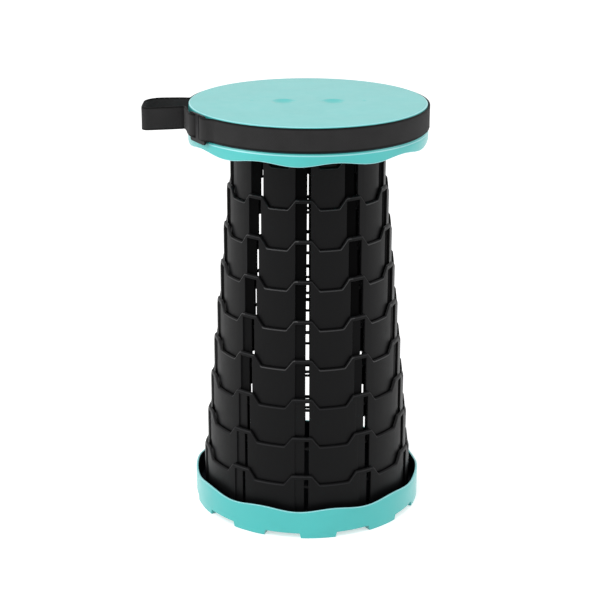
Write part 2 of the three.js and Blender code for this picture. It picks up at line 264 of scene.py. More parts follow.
# painted shade: a near-black finish for the inside of the base, which lies in deep shade
painted_shade_inside = moulded_plastic("painted_shade_inside", (0.003, 0.0045, 0.009), worn_and_highlit=(0.006, 0.008, 0.014),
                              gloss=0.1, roughness=0.6, grain=0.3)
print("seat and base:", teal_plastic.name, painted_rim_highlight.name, shaded_groove.name, painted_shade_inside.name)

# %% [markdown]
# The rings are black and duller. Their sloping top edges catch the lamps, and a painted highlight, a
# lighter finish, adds to that: strong on the flats between the tabs of the upper rings, faint on the
# tabs' tops and further down.

# %% Finishes of rings and slider
highlight_stages = 7
ring_plastic = moulded_plastic("ring_plastic", (0.0036, 0.0036, 0.0039), worn_and_highlit=(0.012, 0.012, 0.013),
                               gloss=0.1, roughness=0.42, grain=0.35)
# painted highlights for the sloping top edges: a strong one and a faint one
painted_edge_highlight = moulded_plastic("painted_highlight_on_tab_edges", (0.018, 0.018, 0.019), worn_and_highlit=(0.026, 0.026, 0.027),
                           gloss=0.36, roughness=0.36, grain=0.3)
painted_faint_highlight = moulded_plastic("faint_painted_highlight_on_tabs", (0.008, 0.008, 0.009), worn_and_highlit=(0.012, 0.012, 0.013),
                           gloss=0.16, roughness=0.45, grain=0.3)
slider_plastic = moulded_plastic("slider_plastic", (0.005, 0.005, 0.006), worn_and_highlit=(0.012, 0.012, 0.013),
                                 gloss=0.16, roughness=0.42, grain=0.2)
print("rings and slider:", ring_plastic.name, painted_edge_highlight.name, painted_faint_highlight.name, slider_plastic.name)

# %% [markdown]
# The floors of the sliding channels look almost black on the upper rings and fade to the colour of
# the rest lower down. They lie deep between two walls and catch little light. That shade is painted:
# a darker, duller finish on the upper rings, a half-dark one below them, and plain plastic lowest.

# %% Finishes of the channel floors
shade_stages, half_shade_stages = 5, 7
# painted shade: darker and duller channel floors, full on the upper rings and half further down
painted_shade_floor = moulded_plastic("painted_shade_channel", (0.0026, 0.0026, 0.0027), worn_and_highlit=(0.004, 0.004, 0.004),
                             gloss=0.015, roughness=0.85, grain=0.3)
half_painted_shade_floor = moulded_plastic("half_painted_shade_channel", (0.0028, 0.0028, 0.003), worn_and_highlit=(0.006, 0.006, 0.006),
                                  gloss=0.06, roughness=0.65, grain=0.3)


def channel_painted_shade(number):
    if number <= shade_stages:
        return painted_shade_floor
    return half_painted_shade_floor if number <= half_shade_stages else ring_plastic


print("channel floors:", [channel_painted_shade(number).name for number in (2, 6, 10)])

# %% [markdown]
# ## Webbing
# The strap is woven from thick yarns. Seen close, rows of small ribs run across the band, every
# second row shifted by half a rib. Both edges of the band are rounded, and their turn away from the
# light is a painted shade: a darker colour near the edges. The weave could be modelled thread by
# thread, but a millimetre of rib needs only its relief. So the band gets coordinates in metres,
# along and across, and two crossed waves make the ribs.

# %% Finish of the webbing
webbing_width = 0.0245
rib_pitch, rib_depth = 1.6 * mm, 0.3 * mm
edge_shade_from, edge_shade_to = 0.4 * webbing_width, 0.46 * webbing_width


def woven_band(name, color):
    """Ribs in rows across the band, uneven yarn, and edges darkened as painted shade."""
    material = bpy.data.materials.new(name)
    add = fresh_nodes(material)
    band = add("ShaderNodeUVMap", uv_map="along_and_across").outputs[0]
    split = add("ShaderNodeSeparateXYZ", {0: band})
    along, across = split.outputs["X"], split.outputs["Y"]

    def calc(operation, *values):
        return add("ShaderNodeMath", dict(enumerate(values)), operation=operation).outputs[0]

    def wave(source, pitch, shift=0.0):
        return calc("SINE", calc("ADD", calc("MULTIPLY", source, 2 * math.pi / pitch), shift))

    row_side = calc("SIGN", wave(across, 2 * rib_pitch))
    ribs = wave(along, rib_pitch, calc("MULTIPLY", row_side, math.pi / 2))
    relief = calc("MULTIPLY_ADD", ribs, 0.5, 0.5)
    # painted shade: the colour darkens towards both edges of the band
    edge = add("ShaderNodeMapRange", {
        "Value": calc("ABSOLUTE", across), "From Min": edge_shade_from, "From Max": edge_shade_to})
    fuzz = add("ShaderNodeTexNoise", {"Scale": 60, "Detail": 5, "Vector": band})
    yarn = blend(add, fuzz.outputs["Fac"], tint(color, 0.78), tint(color, 1.25))
    ribbed = blend(add, 0.3, yarn, relief, how="MULTIPLY")
    bump = add("ShaderNodeBump", {"Height": relief, "Strength": 0.6, "Distance": rib_depth})
    shader = add("ShaderNodeBsdfPrincipled", {
        "Base Color": blend(add, edge.outputs["Result"], ribbed, tint(color, 0.18)),
        "Normal": bump.outputs["Normal"], "Roughness": 0.72, "Specular IOR Level": 0.07,
        "Sheen Weight": 0.06, "Sheen Roughness": 0.5})
    add("ShaderNodeOutputMaterial", {"Surface": shader.outputs[0]})
    return material


webbing = woven_band("black_webbing", (0.031, 0.0305, 0.031))
print("the webbing has a rib every", rib_pitch / mm, "mm")

# %% [markdown]
# ## Helpers for the meshes
# Everything here is either turned round the stool's axis or cut from a curved or flat plate. A
# turned piece is a grid of columns round the axis, each with the same list of points from the
# middle of one face round the rim to the middle of the other. A cut plate is a grid of cells in
# three directions, some of which are left out, and faces stand wherever plastic meets air. Both
# give closed meshes without any boolean cutting, which would leave ragged shading.

# %% From points to a piece
weld_distance = 0.001 * mm
smooth_up_to, round_from = math.radians(40), math.radians(35)


def finished_piece(name, body, points, faces, finishes, marks=None, rounding=0.0, nodes=()):
    """Makes the mesh, closes it, rounds its sharp edges, ties it to its body and hides the parts it
    replaces.
    """
    mesh = bpy.data.meshes.new(name)
    mesh.from_pydata([tuple(point) for point in points], [], faces)
    for finish in finishes:
        mesh.materials.append(finish)
    if marks:
        mesh.polygons.foreach_set("material_index", marks)
    work = bmesh.new()
    work.from_mesh(mesh)
    bmesh.ops.remove_doubles(work, verts=work.verts, dist=weld_distance)
    bmesh.ops.dissolve_degenerate(work, edges=work.edges, dist=weld_distance)
    bmesh.ops.recalc_face_normals(work, faces=work.faces)
    work.to_mesh(mesh)
    work.free()
    piece = bpy.data.objects.new(name, mesh)
    bpy.context.scene.collection.objects.link(piece)
    mesh.shade_smooth()
    if rounding:
        bevel = piece.modifiers.new("rounded_edges", "BEVEL")
        bevel.width = rounding
        bevel.segments = 2
        bevel.limit_method = "ANGLE"
        bevel.angle_limit = round_from
        piece.modifiers.new("even_shading", "WEIGHTED_NORMAL").keep_sharp = True
    else:
        mesh.set_sharp_from_angle(angle=smooth_up_to)
    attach(piece, body)
    if nodes:
        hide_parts(*nodes)
    return piece


print("points closer than", weld_distance / mm, "mm are welded")

# %% A turned piece
def on_circle(radius, angle, height):
    """Angles start at the front and grow to the right."""
    return Vector((radius * math.sin(angle), -radius * math.cos(angle), height))


def turned(profile_at, angles):
    """A closed grid: for each angle, the profile's points from one middle to the other."""
    points = []
    for angle in angles:
        points += [on_circle(radius, angle, height) for radius, height in profile_at(angle)]
    rows = len(points) // len(angles)
    faces, face_rows = [], []
    for column in range(len(angles)):
        here, there = column * rows, (column + 1) % len(angles) * rows
        faces += [(here + row, there + row, there + row + 1, here + row + 1) for row in range(rows - 1)]
        face_rows += range(rows - 1)
    return points, faces, face_rows


def part_starts(parts):
    """A profile is drawn in parts. This gives the number of each part's first point."""
    return [sum(map(len, parts[:count])) for count in range(len(parts))]


print("to the right of the axis:", [round(part, 3) for part in on_circle(1, math.pi / 2, 0)])

# %% A cut plate
def cut_plate(columns, rows, layers, keeps, place, closed):
    """Faces between kept and left-out cells. keeps and place get whole numbers of the grid."""
    def kept(column, row, layer):
        if closed:
            column %= columns
        inside = 0 <= column < columns and 0 <= row < rows and 0 <= layer < layers
        return inside and keeps(column, row, layer)

    spots, points, faces, sides = {}, [], [], []

    def spot(column, row, layer):
        key = (column % columns if closed else column, row, layer)
        if key not in spots:
            spots[key] = len(points)
            points.append(place(*key))
        return spots[key]

    for column in range(columns):
        for row in range(rows):
            for layer in range(layers):
                if not kept(column, row, layer):
                    continue
                a, b, r, t, k, m = column, column + 1, row, row + 1, layer, layer + 1
                walls = {
                    (-1, 0, 0): ((a, r, k), (a, r, m), (a, t, m), (a, t, k)),
                    (1, 0, 0): ((b, r, k), (b, t, k), (b, t, m), (b, r, m)),
                    (0, -1, 0): ((a, r, k), (b, r, k), (b, r, m), (a, r, m)),
                    (0, 1, 0): ((a, t, k), (a, t, m), (b, t, m), (b, t, k)),
                    (0, 0, -1): ((a, r, k), (a, t, k), (b, t, k), (b, r, k)),
                    (0, 0, 1): ((a, r, m), (b, r, m), (b, t, m), (a, t, m)),
                }
                for (x, y, z), corners in walls.items():
                    if not kept(column + x, row + y, layer + z):
                        faces.append(tuple(spot(*corner) for corner in corners))
                        sides.append((column, row, layer, z))
    return points, faces, sides


cube = cut_plate(1, 1, 1, lambda *cell: True, lambda *corner: Vector(corner), closed=False)
print("one cell alone has", len(cube[1]), "faces")

# %% Small blocks and hubs that stand on a piece
hub_radius, hub_flat, hub_chamfer = 15 * mm, 12 * mm, 1 * mm


def add_block(points, faces, radii, width, heights, angle):
    """Adds a block that stands on a radius of the stool, between two radii and two heights."""
    first, (near, far) = len(points), radii
    out = Vector((math.sin(angle), -math.cos(angle), 0))
    across = Vector((math.cos(angle), math.sin(angle), 0)) * width / 2
    flat = [out * near - across, out * far - across, out * far + across, out * near + across]
    points += [spot + Vector((0, 0, height)) for height in heights for spot in flat]
    around = [(0, 3, 2, 1), (4, 5, 6, 7), (0, 1, 5, 4), (1, 2, 6, 5), (2, 3, 7, 6), (3, 0, 4, 7)]
    faces += [tuple(first + at for at in face) for face in around]


def add_hub(points, faces, bottom, top):
    """Adds a round boss on the stool's axis, with its lower edge chamfered."""
    profile = [(0, bottom), (hub_flat, bottom), (hub_radius - hub_chamfer, bottom),
               (hub_radius, bottom + hub_chamfer), (hub_radius, top), (0, top)]
    hub_points, hub_faces, _ = turned(lambda angle: profile, [step * math.pi / 24 for step in range(48)])
    faces += [tuple(len(points) + at for at in face) for face in hub_faces]
    points += hub_points


print("the hubs are", round(2 * hub_radius / mm), "mm across")

# %% [markdown]
# ## The rings
# Every ring is a thin tube. Its top edge stands up in ten tabs with sloping shoulders, and under
# each tab there is an upright slit with a shallow channel to its left, which ends in a short leg.
# The next larger ring's lugs run in these channels. One could cut all this with booleans, but the
# curved wall falls neatly into cells: columns at every corner of the tab, slit and channel, rows at
# every ledge, and two layers, of which the channel takes away only the outer one.

# %% Sizes that all rings share
stages, segments = 10, 10
segment_angle = 2 * math.pi / segments
smallest_radius, ring_step = 79.2 * mm, 4.02 * mm
wall, ring_height = 2.6 * mm, 58.5 * mm
stage_travel, last_stage_cut = 42.4 * mm, 4.3 * mm
lowest_floor = 10.5 * mm
ring_name = "ring_{:02d}".format


def ring_radius(number):
    return smallest_radius + (number - 1) * ring_step


def ring_floor(number):
    lift = (stages - number) * stage_travel
    return lowest_floor + lift - (last_stage_cut if number == 1 else 0)


print("the largest ring measures", round(2 * ring_radius(stages) / mm, 1), "mm across")

# %% [markdown]
# Light falls through the slits from behind and draws thin white lines down the stool. The packed
# model has plain slits, five millimetres wide and all in line. The white lines tell more: they are
# a little narrower, and creep to the left from ring to ring downwards. So each slit gets its width
# and its place from its ring's number. The smallest ring's slits are closed from its ledge to 17 mm
# up, because a closed wall shows there, and open again below the ledge, where light shows.

# %% Slits and channels
slit_half = 2.5 * mm
slit_span, widest_slit = 0.0465, 4.6 * mm
slit_creep, straight_stage = 0.0027, 6.5
slit_top = ring_height - 4.6 * mm
channel_left, channel_depth = -13.3 * mm, 1.5 * mm
leg_left, leg_top = -18.7 * mm, 9.3 * mm
ledge = 2.7 * mm


def slit_sides(number):
    """Left and right side of the slit, as distance along the wall."""
    if number == 1:
        return -slit_half, slit_half
    radius = ring_radius(number)
    middle = slit_creep * (straight_stage - number) * radius
    half = min(slit_span * radius, widest_slit) / 2
    return middle - half, middle + half


for number in (2, stages):
    left, right = slit_sides(number)
    print("the slits of ring", number, "are", round((right - left) / mm, 1), "mm wide")

# %% The top edge of one segment
notch, edge_slope = 10.6 * mm, 1.4 * mm
tab_left_share, tab_right_share = -0.15, 0.045
diagonal, corner_round = 8.2 * mm, 0.9 * mm


def edge_corners(radius):
    """Corners of the top edge: distance along the wall and drop below the tab."""
    left, right = tab_left_share * radius, tab_right_share * radius
    next_tab = segment_angle * radius + left - diagonal
    return [(left - diagonal, notch), (left, 0), (right, 0), (right + diagonal, notch), (next_tab, notch)]


def drop_at(along, corners):
    """Straight from corner to corner, with each corner rounded off."""
    def straight(spot):
        for (start, low), (end, high) in zip(corners, corners[1:]):
            if spot <= end:
                share = (spot - start) / (end - start)
                return low + max(share, 0) * (high - low)
        return notch

    for corner, _ in corners:
        if abs(along - corner) < corner_round / 2:
            before, after = straight(corner - corner_round), straight(corner + corner_round)
            return (before + 2 * straight(corner) + after) / 4
    return straight(along)


print("the top edge drops", round(drop_at(20 * mm, edge_corners(ring_radius(5))) / mm, 1), "mm beside a tab")

# %% Columns and rows of the cells
widest_column, narrowest_column = 3.2 * mm, 0.4 * mm
closed_up_to = 17 * mm
plain_rows = [0, ledge, leg_top, closed_up_to, 25 * mm, 33 * mm]
row_count = len(plain_rows) + 3
slit_end_row = row_count - 2


def wall_columns(number):
    """Every distance along one segment at which the wall changes, with even steps between."""
    radius = ring_radius(number)
    length = segment_angle * radius
    bends = [corner for corner, _ in edge_corners(radius)[:-1]]
    start = bends[0]
    fixed = [leg_left, channel_left, *slit_sides(number)] + bends
    for spot in [bend + side * corner_round for bend in bends for side in (-1, 1)]:
        spot = spot if spot > start else spot + length
        if min(abs(spot - other) for other in fixed) > narrowest_column:
            fixed.append(spot)
    fixed = sorted(fixed) + [start + length]
    columns = []
    for left, right in zip(fixed, fixed[1:]):
        steps = max(1, math.ceil((right - left) / widest_column))
        columns += [left + (right - left) * step / steps for step in range(steps)]
    return columns


print("a segment of the largest ring has", len(wall_columns(stages)), "columns and", row_count, "rows")

# %% Which cells of the wall hold plastic
just_inside = 0.01 * mm


def ring_keeps(number, columns):
    """Leaves out the slits and, in the outer layer, the channels and their legs."""
    slit_left, slit_right = slit_sides(number)
    open_rows = range(1, slit_end_row)
    if number == 1:
        open_rows = [0, *range(plain_rows.index(closed_up_to), slit_end_row)]

    def keeps(column, row, layer):
        along = columns[column % len(columns)] + just_inside
        if row in open_rows and slit_left < along < slit_right:
            return False
        in_channel = 1 <= row < slit_end_row and channel_left < along < slit_right
        in_leg = row == 1 and leg_left < along < slit_right
        return layer == 0 or not (in_channel or in_leg)

    return keeps


print("the smallest ring's slits are closed from", ledge / mm, "to", closed_up_to / mm, "mm")

# %% Where the corners of the cells lie
top_zone = 40 * mm
chamfer_drop, chamfer_depth = 0.8 * mm, 0.6 * mm
under_chamfer = ring_height - edge_slope - chamfer_drop
slit_share = (slit_top - top_zone) / (under_chamfer - top_zone)


def ring_place(number, columns):
    """Low rows are level. From the top zone on, the rows bend more and more like the top edge."""
    radius, floor_height = ring_radius(number), ring_floor(number)
    corners = edge_corners(radius)
    layer_radii = [radius - wall, radius - channel_depth, radius]

    def place(column, row, layer):
        segment, at = divmod(column, len(columns))
        along, out = columns[at], layer_radii[layer]
        if row < len(plain_rows):
            height = plain_rows[row]
        elif row < row_count:
            share = (0, slit_share, 1)[row - len(plain_rows)]
            height = top_zone + share * (under_chamfer - drop_at(along, corners) - top_zone)
        else:
            out = min(out, radius - chamfer_depth)
            height = ring_height - edge_slope * (out - radius + wall) / wall - drop_at(along, corners)
        return on_circle(out, segment * segment_angle + along / radius, floor_height + height)

    return place


print("the slits end", round((ring_height - slit_top) / mm, 1), "mm under the tabs' tops")

# %% Which finish each face gets
tab_margin = 2 * mm


def ring_marks(number, columns, sides):
    """0 for the plain wall, 1 for a channel's floor, 3 for a tab's top edge, 2 for the rest of it."""
    radius = ring_radius(number)
    tab_start = tab_left_share * radius + tab_margin
    tab_end = tab_right_share * radius + diagonal - tab_margin
    marks = []
    for column, row, layer, outwards in sides:
        mark = 0
        if (layer, outwards) == (0, 1):
            mark = 1
        elif (row, layer, outwards) == (row_count - 1, 1, 1):
            mark = 3 if tab_start < columns[column % len(columns)] < tab_end else 2
        marks.append(mark)
    return marks


# on these rings the flats of the top edges get the strong painted highlight
print("top edges are rubbed light on rings 1 to", highlight_stages)

# %% [markdown]
# Each lug is a small block inside the wall, five wide and six high, that reaches into the channel
# of the next smaller ring. It is added to its ring's mesh, sunk a little into the wall. The lugs of
# the last stage sit lower, because the smallest ring is pulled out less far.

# %% All ten rings
lug_width, lug_height = 5 * mm, 6 * mm
lug_bottom = ring_height - 7.1 * mm - lug_height
lug_middle = (slit_half - channel_left) / 2
lug_tip_gap, root_depth = 0.3 * mm, 0.6 * mm
edge_rounding = 0.4 * mm
for number in range(1, stages + 1):
    columns = wall_columns(number)
    keeps, place = ring_keeps(number, columns), ring_place(number, columns)
    points, faces, sides = cut_plate(len(columns) * segments, row_count, 2, keeps, place, closed=True)
    marks = ring_marks(number, columns, sides)
    if number > 1:
        carried = ring_radius(number - 1)
        radii = carried - channel_depth + lug_tip_gap, ring_radius(number) - wall + root_depth
        bottom = ring_floor(number) + lug_bottom - (last_stage_cut if number == 2 else 0)
        for segment in range(segments):
            angle = segment * segment_angle - lug_middle / carried
            add_block(points, faces, radii, lug_width, (bottom, bottom + lug_height), angle)
    marks += [0] * (len(faces) - len(marks))
    name = ring_name(number)
    body = "seat_unit" if number == 1 else name
    # the channel floors get their painted shade, and the top edges their painted highlight
    worn_and_highlit = painted_edge_highlight if number <= highlight_stages else painted_faint_highlight
    finishes = [ring_plastic, channel_painted_shade(number), worn_and_highlit, painted_faint_highlight]
    finished_piece(name + "_skin", body, points, faces, finishes, marks, edge_rounding,
                                   [name])

# %% [markdown]
# ## The base
# The base is a tray: a flat floor, an upright wall whose rim rises and falls ten times, and ten
# feet under the edge. Its underside has ribs that run from a hub to the feet, and inside stand the
# posts that hold the largest ring. The tray is turned; only the rim's height and the feet's height
# change with the angle, so the turned grid can carry both.

# %% Sizes of the base
base_radius = ring_radius(stages) + 10 * mm
base_wall = 2.5 * mm
base_inside = base_radius - base_wall
floor_top = 8.5 * mm
base_rim, base_swing = 32.3 * mm, 1.66 * mm
crest_share = 0.356
foot_height, foot_depth, foot_chamfer = 5.5 * mm, 15 * mm, 1.2 * mm
foot_share, foot_centre = 0.48, 0.156
foot_slope = 1.5 * mm / base_radius


def waved(middle_height, swing, angle):
    """A rim that rises and falls once in each segment."""
    return middle_height + swing * math.cos(segments * angle - crest_share * 2 * math.pi)


def foot_bottom(angle):
    """0 under a foot and the foot's height between two feet, with sloping ends."""
    offset = (angle / segment_angle - foot_centre + 0.5) % 1 - 0.5
    beyond = abs(offset) * segment_angle - foot_share * segment_angle / 2
    return min(max(beyond / foot_slope, 0), 1) * foot_height


print("the base measures", round(2 * base_radius / mm, 1), "mm across")

# %% Columns round the base, with one at each end of each foot's slopes
steps_per_segment = 30
base_angles = [step * segment_angle / steps_per_segment for step in range(steps_per_segment * segments)]
for segment in range(segments):
    for side in (-1, 1):
        end = (segment + foot_centre + side * foot_share / 2) * segment_angle
        base_angles += [end % (2 * math.pi), (end + side * foot_slope) % (2 * math.pi)]
base_angles = sorted(set(round(angle, 6) for angle in base_angles))
print(len(base_angles), "columns round the base")

# %% Turn the tray
rim_round = 0.9 * mm
floor_bend = 2 * mm


def rounded_corner(radius, height, size, start, steps=4):
    """Points of a quarter circle round a middle, from the starting quarter on."""
    turns = [(start + step / steps) * math.pi / 2 for step in range(steps + 1)]
    return [(radius + size * math.cos(turn), height + size * math.sin(turn)) for turn in turns]


def base_parts(angle):
    """Underside, foot, outer wall, rim, inner wall and floor, one after the other."""
    low, rim = foot_bottom(angle), waved(base_rim, base_swing, angle)
    foot_inside, foot_bend = base_radius - foot_depth, base_radius - foot_chamfer
    underside = [(spot, foot_height) for spot in (0, 15 * mm, 60 * mm, foot_inside)]
    foot = [(foot_inside, low), (foot_bend, low)]
    foot += rounded_corner(foot_bend, low + foot_chamfer, foot_chamfer, -1, 3)[1:]
    outside = [(base_radius, height) for height in (foot_height + 3 * mm, 16 * mm, 24 * mm)]
    edge = rounded_corner(base_radius - rim_round, rim - rim_round, rim_round, 0)
    edge += rounded_corner(base_inside + rim_round, rim - rim_round, rim_round, 1)
    inside = [(base_inside, height) for height in (24 * mm, 14 * mm, floor_top + floor_bend)]
    inside += [(base_inside - 0.6 * mm, floor_top + 0.6 * mm), (base_inside - floor_bend, floor_top)]
    return underside, foot, outside, edge, inside + [(spot, floor_top) for spot in (90 * mm, 45 * mm, 0)]


def base_profile(angle):
    return sum(base_parts(angle), [])


tray_points, tray_faces, tray_rows = turned(base_profile, base_angles)
# the rim's rounded rows get the painted highlight, the inner wall and the floor the painted shade
rim_start = part_starts(base_parts(0))[3]
highlight_rows, inside_shade_row = range(rim_start + 1, rim_start + 6), rim_start + 7
tray_marks = [1 if row >= inside_shade_row else 2 if row in highlight_rows else 0 for row in tray_rows]
print("the tray has", len(tray_faces), "faces")

# %% [markdown]
# Ribs, rests and posts are straight blocks on the real base too, so plain blocks serve. Ten ribs
# run under the floor. Ten low rests carry the largest ring, and ten posts with tips lock it. What
# stands inside the tray shares its painted shade, and the ribs underneath stay teal.

# %% Ribs, rests, posts and hub of the base
rib, into_floor, into_wall = 2 * mm, 1 * mm, 0.5 * mm
rest_inside, rest_top = 73.6 * mm, floor_top + 1.7 * mm
post_gap, tip_reach = 0.5 * mm, 1.2 * mm
carried = ring_radius(stages)
post_top = lowest_floor + lug_bottom - stage_travel + lug_height
tip_bottom = post_top - lug_height
buried = floor_top - into_floor
# dark is the painted shade of the inside
plain, dark = 0, 1
lock = -lug_middle / carried
blocks = [
    (plain, (hub_radius - 1 * mm, base_radius - foot_depth + 1 * mm), rib, (1 * mm, buried), 0),
    (dark, (rest_inside, base_inside + into_wall), rib, (buried, rest_top), segment_angle / 2),
    (dark, (carried + post_gap, base_inside + into_wall), lug_width, (buried, post_top), lock),
    (dark, (carried - tip_reach, carried + 1 * mm), lug_width, (tip_bottom, post_top), lock),
]
for segment in range(segments):
    for mark, radii, width, heights, turn in blocks:
        add_block(tray_points, tray_faces, radii, width, heights, segment * segment_angle + turn)
        tray_marks += 6 * [mark]
add_hub(tray_points, tray_faces, 0, foot_height + 1 * mm)
tray_marks += [0] * (len(tray_faces) - len(tray_marks))
# plain teal, the painted shade of the inside and the painted highlight of the rim
tray_finishes = [teal_plastic, painted_shade_inside, painted_rim_highlight]
base_skin = finished_piece("base_skin", "base", tray_points, tray_faces, tray_finishes, tray_marks,
                           nodes=["base"])
print("the base stands on", segments, "feet")

# %% [markdown]
# ## The seat
# The seat is a round cap. Its edge falls into a groove for the strap, and below the strap it
# widens into a skirt with the same waves as the base. Two thumb recesses and two dimples mark the
# top. They are so shallow that the turned grid can carry them too, as a small dip of its height.

# %% Sizes of the seat
seat_top = ring_floor(1) + ring_height + 3.7 * mm
underside = seat_top - 3.4 * mm
skirt_radius = base_radius + 2 * mm
groove_radius = skirt_radius - 1.2 * mm
skirt_rim, skirt_swing = seat_top - 38.9 * mm, 1.88 * mm
strap_drop, groove_play = 1.1 * mm, 1.6 * mm
groove_foot = seat_top - strap_drop - webbing_width - groove_play
seat_wall, seat_edge = 2.4 * mm, 1.5 * mm
print("the seat's top is at", round(seat_top / mm, 1), "mm")

# %% Thumb recesses and dimples
dish_side, dish_front, dish_radius, dish_depth = 26.2 * mm, 2 * mm, 12.7 * mm, 2.4 * mm
dimple_side, dimple_back, dimple_radius = 59.3 * mm, 1.5 * mm, 2.6 * mm
dimple_bank, dimple_depth = 1.4 * mm, 0.35 * mm


def soft_step(value):
    value = min(max(value, 0), 1)
    return value * value * (3 - 2 * value)


def top_dip(radius, angle):
    """How far two dishes and two small dimples lower the seat's top."""
    x, y = radius * math.sin(angle), -radius * math.cos(angle)
    dip = 0
    for side in (-1, 1):
        away = math.hypot(x - side * dish_side, y + dish_front) / dish_radius
        if away < 1:
            dip = max(dip, dish_depth * (1 - away ** 2) ** 1.2)
        away = math.hypot(x - side * dimple_side, y - dimple_back)
        dip = max(dip, dimple_depth * soft_step((dimple_radius - away) / dimple_bank))
    return dip


print("a thumb recess is", round(top_dip(dish_side, math.pi / 2) / mm, 2), "mm deep beside its middle")

# %% [markdown]
# Two fine lines run round under the strap: a dark one right below it, and a light one a little
# lower. The dark one is the foot of the groove, which the strap leaves open and shades; its wall
# also gets a painted shadow. The light one is the shoulder above the skirt, which gets the painted
# highlight of the rims. A groove that reaches a little below the strap puts both lines in place.

# %% Turn the cap
top_radii = [spot * mm for spot in (123, 118, 110, 100, 90, 80)]
top_radii += [spot * mm / 4 for spot in range(292, 64, -5)] + [12 * mm, 8 * mm, 4 * mm, 0]


def seat_parts(angle):
    """Underside, edge of the skirt, outside with the groove, rounded edge and top."""
    rim = waved(skirt_rim, skirt_swing, angle)
    groove_inside, skirt_inside = groove_radius - seat_wall, skirt_radius - seat_wall
    shoulder = groove_foot - 2 * mm
    below = [(spot, underside) for spot in (0, 30 * mm, 80 * mm, groove_inside - 2 * mm)]
    below += [(groove_inside, height) for height in (underside - 2 * mm, shoulder + mm, shoulder)]
    below += [(skirt_inside, shoulder - 2 * mm), (skirt_inside, shoulder - 5 * mm)]
    edge = rounded_corner(skirt_inside + rim_round, rim + rim_round, rim_round, 2)
    edge += rounded_corner(skirt_radius - rim_round, rim + rim_round, rim_round, 3)
    outside = [(skirt_radius, shoulder - 4 * mm), (skirt_radius, shoulder - 0.5 * mm),
               (skirt_radius - 0.3 * mm, shoulder + 0.7 * mm), (groove_radius, groove_foot),
               (groove_radius, groove_foot + 8 * mm), (groove_radius, seat_top - seat_edge - 3 * mm)]
    cap = rounded_corner(groove_radius - seat_edge, seat_top - seat_edge, seat_edge, 0, 6)
    top = [(radius, seat_top - top_dip(radius, angle)) for radius in top_radii]
    return below, edge, outside, cap, top


def seat_profile(angle):
    return sum(seat_parts(angle), [])


seat_angles = [step * math.pi / 180 for step in range(360)]
cap_points, cap_faces, cap_rows = turned(seat_profile, seat_angles)
_, edge_start, outside_start, cap_start, _ = part_starts(seat_parts(0))
# painted highlight on the skirt's lower rounding, the shoulder and the seat's rounded edge, and a painted
# shadow on the groove's wall under the strap
highlight_rows = [*range(edge_start + 5, edge_start + 9), outside_start + 1]
highlight_rows += range(cap_start + 2, cap_start + 6)
shaded_row = outside_start + 3
cap_marks = [1 if row in highlight_rows else 2 if row == shaded_row else 0 for row in cap_rows]
print("the cap has", len(cap_faces), "faces")

# %% [markdown]
# Underneath, ten ribs run out from a hub and five fingers hang down into the smallest ring. Each
# finger ends in a barb that snaps into a slit. They show only from below, so blocks are enough, as
# long as they stand where the model has them.

# %% Ribs, hub and fingers of the seat
finger_count, finger_gap, finger_thickness = 5, 0.8 * mm, 3 * mm
barb_play, barb_height, barb_lead = 0.3 * mm, 4 * mm, 2 * mm
into_seat = underside + root_depth
finger_outside = ring_radius(1) - wall - finger_gap
finger_inside = finger_outside - finger_thickness
rib_bottom = underside - 12 * mm
rib_radii = hub_radius - 1 * mm, finger_inside - 4 * mm
for segment in range(segments):
    angle = (segment + 0.5) * segment_angle
    add_block(cap_points, cap_faces, rib_radii, rib, (rib_bottom, into_seat), angle)
barb_top = ring_floor(1) + slit_top - barb_play
barb_bottom = barb_top - barb_height
finger_tip = barb_bottom - barb_lead
finger_width = 2 * slit_half - finger_gap
barb_radii = finger_outside - 0.5 * mm, ring_radius(1) - 0.6 * mm
for finger in range(finger_count):
    angle = finger * 2 * math.pi / finger_count
    leg_radii, leg_heights = (finger_inside, finger_outside), (finger_tip, into_seat)
    add_block(cap_points, cap_faces, leg_radii, finger_width, leg_heights, angle)
    add_block(cap_points, cap_faces, barb_radii, finger_width, (barb_bottom, barb_top), angle)
add_hub(cap_points, cap_faces, rib_bottom, into_seat)
cap_marks += [0] * (len(cap_faces) - len(cap_marks))
# plain teal, the painted highlight and the painted shadow under the strap
cap_finishes = [teal_plastic, painted_rim_highlight, shaded_groove]
seat_skin = finished_piece("seat_skin", "seat_unit", cap_points, cap_faces, cap_finishes, cap_marks,
                           nodes=["seat"])
print("the seat has", len(seat_skin.data.polygons), "faces")

# %% [markdown]
# ## The strap
# One band of webbing starts at the slider, runs round the seat to the left, swings out as the
# carrying loop and comes back through the slider. Cloth simulation would let it drop, but the band
# is pulled tight and stiff enough to stand on edge. So its middle line is drawn from above, its
# corners are softened, and a thin section with rounded edges is carried along it.

# %% Places by the slider
webbing_thickness = 1.7 * mm
strap_radius = groove_radius + 1.5 * mm
slider_angle = -0.1667 * 2 * math.pi
slider_length, slider_thickness = 32 * mm, 2.4 * mm
slot_width, bar_width = 5.2 * mm, 7.2 * mm
slot_middle = (bar_width + slot_width) / 2
bar_gap = 1.3 * mm
slider_inside = strap_radius + bar_gap
over_bars = slider_inside + slider_thickness + bar_gap


def by_slider(along, outwards):
    """A place by the slider: along the band from its middle, and out from the stool's axis."""
    out = Vector((math.sin(slider_angle), -math.cos(slider_angle)))
    side = Vector((math.cos(slider_angle), math.sin(slider_angle)))
    return out * outwards + side * along


print("over the slider's bars the band is", round((over_bars - strap_radius) / mm, 1), "mm further out")

